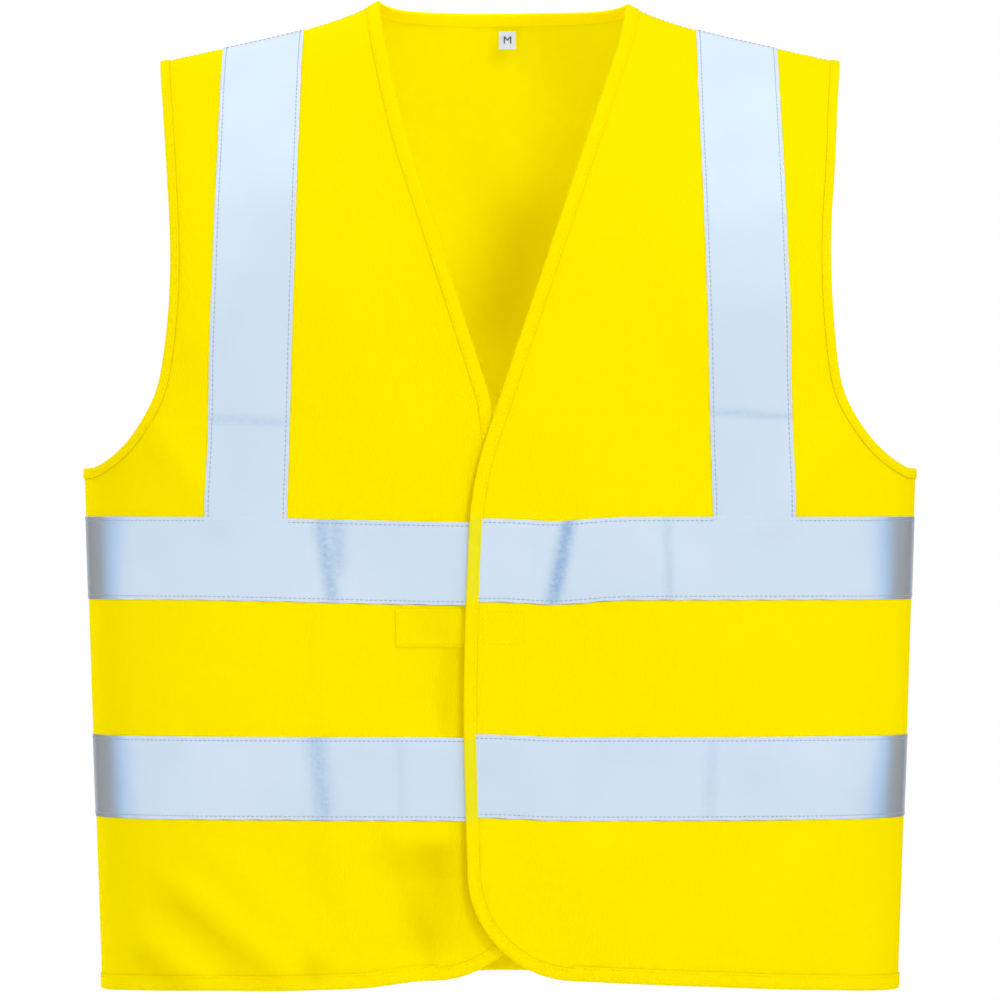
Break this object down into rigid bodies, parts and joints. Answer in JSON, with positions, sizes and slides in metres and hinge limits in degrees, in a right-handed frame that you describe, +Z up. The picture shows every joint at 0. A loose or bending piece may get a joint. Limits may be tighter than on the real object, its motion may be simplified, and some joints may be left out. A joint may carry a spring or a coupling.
{
  "type": "high visibility vest",
  "caption": "Sleeveless V-neck high visibility vest with reflective tape around the body and over the shoulders, closed in front by a hook-and-loop patch.",
  "frame": {"origin": "midway between the two neck points, at the height of the neck points, where a hanger carries the shoulders", "axes": "+Z up, -Y the way the front faces, +X the wearer's left"},
  "size_m": [0.5096, 0.1976, 0.6016],
  "materials": {
    "fabric": "fluorescent yellow warp-knit polyester, matt with a faint sheen",
    "binding": "fluorescent yellow turned edge, stitched",
    "tape": "silver-white glass bead retroreflective tape",
    "closure": "yellow hook and loop",
    "label": "white woven satin"
  },
  "bodies": {
    "back": {"left_back_armhole_hem": "fabric", "left_back_brace_tape": "tape", "left_shoulder_seam": "fabric", "left_side_seam": "fabric", "right_back_armhole_hem": "fabric", "right_back_brace_tape": "tape", "right_shoulder_seam": "fabric", "right_side_seam": "fabric", "back_panel": "fabric", "back_neck_hem": "binding", "back_hem": "fabric", "back_upper_band": "tape", "back_lower_band": "tape"},
    "left_front": {"left_front_panel": "fabric", "left_front_edge_binding": "binding", "left_front_hem": "fabric", "left_front_armhole_hem": "fabric", "left_front_upper_band": "tape", "left_front_lower_band": "tape", "left_front_brace_tape": "tape", "hook_patch": "closure"},
    "right_front": {"right_front_panel": "fabric", "right_front_edge_binding": "binding", "right_front_hem": "fabric", "right_front_armhole_hem": "fabric", "right_front_upper_band": "tape", "right_front_lower_band": "tape", "right_front_brace_tape": "tape", "loop_patch": "closure"},
    "size_label": {"size_label": "label"},
    "care_label": {"care_label": "label"}
  },
  "joints": [
    {"name": "left_front_open", "type": "hinge", "parent": "back", "child": "left_front", "pos_m": [0.2554, 0, -0.283], "axis": [0.0355, 0, 0.9994], "range_deg": [0, 110]},
    {"name": "right_front_open", "type": "hinge", "parent": "back", "child": "right_front", "pos_m": [-0.2554, 0, -0.283], "axis": [0.0355, 0, -0.9994], "range_deg": [0, 82.5]},
    {"name": "size_label_flip", "type": "hinge", "parent": "back", "child": "size_label", "pos_m": [0.0046, 0.059, -0.013], "axis": [-1, 0, 0], "range_deg": [0, 90]},
    {"name": "care_label_flip", "type": "hinge", "parent": "back", "child": "care_label", "pos_m": [0.2408, 0.002, -0.5], "axis": [0, 0, 1], "range_deg": [0, 70]}
  ],
  "couplings": [
    {"joint": "right_front_open", "follows": "left_front_open", "ratio": 0.75}
  ]
}
